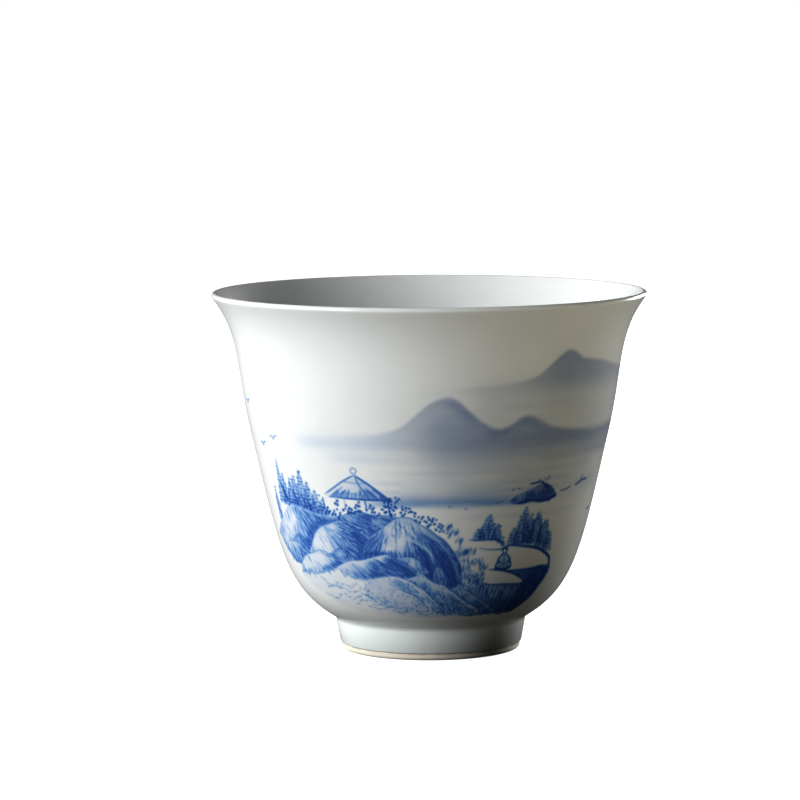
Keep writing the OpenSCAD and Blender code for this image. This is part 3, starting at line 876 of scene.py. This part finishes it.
def brushed(coat, white):
    """Cobalt under the glaze: it thins to pale blue and gathers to ink blue, with fine specks.
    The mountains and the water behind, on the right of the cup, are in a greyer, darker wash: partly their
    own grey and partly painted shade of the cup's shaded right side."""
    ink = coat.node("ShaderNodeAttribute", {"attribute_name": "cobalt"}, output="Fac")
    ink = ink * (0.86 + 0.28 * coat.noise(0.35 * mm, detail=3))
    side = coat.node("ShaderNodeSeparateXYZ", {}, {"Vector": coat.place}, output=0)
    height = coat.node("ShaderNodeSeparateXYZ", {}, {"Vector": coat.place}, output=2)
    # On the right of the cup and high up, the greyer ramp: partly the far wash, partly painted shade
    tint = coat.mix(side.between(*FAR_WASH_AND_SHADE_SIDE) * height.between(*FAR_WASH_AND_SHADE_HEIGHT),
                    coat.node("ShaderNodeValToRGB", {"stops": COBALT_STOPS}, {"Fac": ink}),
                    coat.node("ShaderNodeValToRGB", {"stops": FAR_WASH_AND_SHADE_STOPS}, {"Fac": ink}))
    return coat.node("ShaderNodeMix", {"data_type": "RGBA", "blend_type": "MULTIPLY"},
                     {0: 1.0, 6: white, 7: tint}, output=2)


def near_neck(coat):
    height = coat.node("ShaderNodeSeparateXYZ", {}, {"Vector": coat.place}, output=2)
    return (1 - height.between(FOOT_H, FOOT_H + 2.5 * mm)) * 0.35


def cut_finer(bm, stretches, cuts):
    """Cuts the outside finer within some stretches."""
    edges = set()
    for face in bm.faces:
        p = face.calc_center_median()
        turn, r = math.degrees(math.atan2(p.x, -p.y)), math.hypot(p.x, p.y)
        on_outside = r > (np.interp(p.z / mm, section_h, section_r) - SKIN) * mm
        if on_outside and any(a < turn < b and c * mm < p.z < d * mm for a, b, c, d in stretches):
            edges.update(face.edges)
    bmesh.ops.subdivide_edges(bm, edges=list(edges), cuts=cuts, use_grid_fill=True)


rows_up = np.concatenate([np.linspace(0, NECK_END, 8, endpoint=False),
                          np.arange(NECK_END, section_up[-1] - 0.3, ROW)])
outer_line = [Vector((np.interp(up, section_up, section_r), np.interp(up, section_up, section_h))) * mm
              for up in rows_up]
edge_line = [Vector((FOOT_LOW_R - GLAZE_T, BARE_H)), Vector((FOOT_LOW_R, BARE_H + GLAZE_T))]
outer_glaze = turned("outer_coat", edge_line + outer_line + arc(lip_centre, LIP_R, lip_out, lip_ridge, 8)
                     + arc(lip_centre, bisque_lip_r, lip_ridge, lip_out, 3)
                     + outside(GLAZE_T, (1, 7, 5))[::-1], ((360, COLUMNS),))
bm = bmesh.new()
bm.from_mesh(outer_glaze.data)
cut_finer(bm, SOFT_WORK, 1)
cut_finer(bm, FINE_WORK, 3)
bm.to_mesh(outer_glaze.data)
bm.free()

# The new points are put on the true round, and every point takes the ink of its place
spots = np.empty(3 * len(outer_glaze.data.vertices))
outer_glaze.data.vertices.foreach_get("co", spots)
x, y, z = spots.reshape(-1, 3).T / mm
r, wanted = np.hypot(x, y), np.interp(z, section_h, section_r)
on_outside = (r > wanted - SKIN) & (z > section_h[0]) & (z < section_h[-1])
grow = np.where(on_outside, wanted / r, 1)
outer_glaze.data.vertices.foreach_set("co", np.stack([x * grow, y * grow, z], 1).ravel() * mm)
soft_sheet = cobalt
for axis in (0, 1):
    soft_sheet = soft_sheet / 2 + (np.roll(soft_sheet, 1, axis) + np.roll(soft_sheet, -1, axis)) / 4
row = np.interp(z, section_h, section_up) / SHEET_UP
column = (np.degrees(np.arctan2(x, -y)) + 180) / SHEET_TURN
low, left = np.minimum(row.astype(int), len(sheet_up) - 2), column.astype(int) % (len(sheet_turn) - 1)
v, u = row - low, column - column.astype(int)
ink = ((soft_sheet[low, left] * (1 - u) + soft_sheet[low, left + 1] * u) * (1 - v)
       + (soft_sheet[low + 1, left] * (1 - u) + soft_sheet[low + 1, left + 1] * u) * v)
painted = outer_glaze.data.attributes.new("cobalt", "FLOAT", "POINT")
painted.data.foreach_set("value", np.where(on_outside, ink, 0))
outer_glaze.data.update()
clear_coat("painted_clear_glaze", near_neck, brushed).wear(outer_glaze)
show(outer_glaze, "outer_glaze")

# ----------------------------------------------------------------------
# Table, light and camera: a plain white table and backdrop, two soft windows on the left, a warm
# glow off the table on the right, a pale wall behind, and a long lens a little above the lip.
# ----------------------------------------------------------------------
CAMERA_AWAY, CAMERA_UP = 0.65, 0.1099
AIM = Vector((-0.0049, 0, 0.0413))
LENS, SENSOR = 177.4, 36.0
CAMERA_ROLL = -0.35
ROOM_LIGHT = 0.01
TABLE_SIZE = 6
LAMP_AWAY, GLOW_AWAY = 0.8, 0.3
DAYLIGHT, WARM_LIGHT, WALL_LIGHT = (0.98, 0.99, 1.0), (1.0, 0.93, 0.74), (1.0, 1.0, 0.98)

bpy.ops.mesh.primitive_grid_add(size=TABLE_SIZE)
table = bpy.context.object
table.name = "table_top"
white = Finish("white_table", Roughness=0.9)
white.feed(white.shader, {"Emission Color": (1, 1, 1, 1), "Emission Strength": 1.0})
white.wear(table)
table.visible_diffuse = False
table.visible_glossy = False
table.visible_shadow = False


def soft_light(name, place, aim, size, power, colour, mirrored=True):
    """A soft rectangular light at a place, turned towards another and hidden from the camera."""
    lamp = bpy.data.lights.new(name, "AREA")
    lamp.shape = "RECTANGLE"
    lamp.size, lamp.size_y = size
    lamp.energy, lamp.color = power, colour
    spot = bpy.data.objects.new(name, lamp)
    spot.location = place
    spot.rotation_euler = (aim - place).to_track_quat("-Z", "Y").to_euler()
    spot.visible_camera = False
    spot.visible_glossy = mirrored
    bpy.context.scene.collection.objects.link(spot)


def around(turn, rise, away):
    """A place some metres from the cup, turn degrees right of the camera and rise degrees up."""
    a, e = math.radians(turn), math.radians(rise)
    return Vector((math.sin(a) * math.cos(e), -math.cos(a) * math.cos(e), math.sin(e))) * away


cup_middle = Vector((0, 0, CUP_HEIGHT / 2))
lit_table = around(50, 0, GLOW_AWAY)
soft_light("window", around(-67, 18, LAMP_AWAY), cup_middle, (0.75, 0.5), 10.6, DAYLIGHT)
soft_light("back_window", around(-122, 18, LAMP_AWAY), cup_middle, (0.4, 0.5), 4.5, DAYLIGHT)
soft_light("table_glow", lit_table, lit_table + Vector((0, 0, 1)), (0.3, 0.3), 0.66, WARM_LIGHT, False)
soft_light("far_wall", around(143, 8, LAMP_AWAY), cup_middle, (0.4, 0.25), 6.5, WALL_LIGHT)

world = bpy.data.worlds.new("room")
world.use_nodes = True
room = Nodes(world.node_tree)
dim = room.node("ShaderNodeBackground", {}, {"Color": (1.0, 0.98, 0.93, 1), "Strength": ROOM_LIGHT})
seen = room.node("ShaderNodeBackground", {}, {"Color": (1, 1, 1, 1)})
ray = room.node("ShaderNodeLightPath", output="Is Camera Ray")
end = next(node for node in room.tree.nodes if node.type == "OUTPUT_WORLD")
room.feed(end, {"Surface": room.node("ShaderNodeMixShader", {}, {0: ray, 1: dim, 2: seen})})
bpy.context.scene.world = world

lens = bpy.data.cameras.new("camera")
lens.lens, lens.sensor_width = LENS, SENSOR
lens.clip_start, lens.clip_end = 0.01, 20
camera = bpy.data.objects.new("camera", lens)
camera.location = (0, -CAMERA_AWAY, CAMERA_UP)
look = (AIM - camera.location).to_track_quat("-Z", "Y").to_matrix().to_4x4()
camera.matrix_world = (Matrix.Translation(camera.location) @ look
                       @ Matrix.Rotation(math.radians(CAMERA_ROLL), 4, "Z"))
bpy.context.scene.collection.objects.link(camera)
bpy.context.scene.camera = camera
bpy.context.scene.view_settings.view_transform = "Standard"
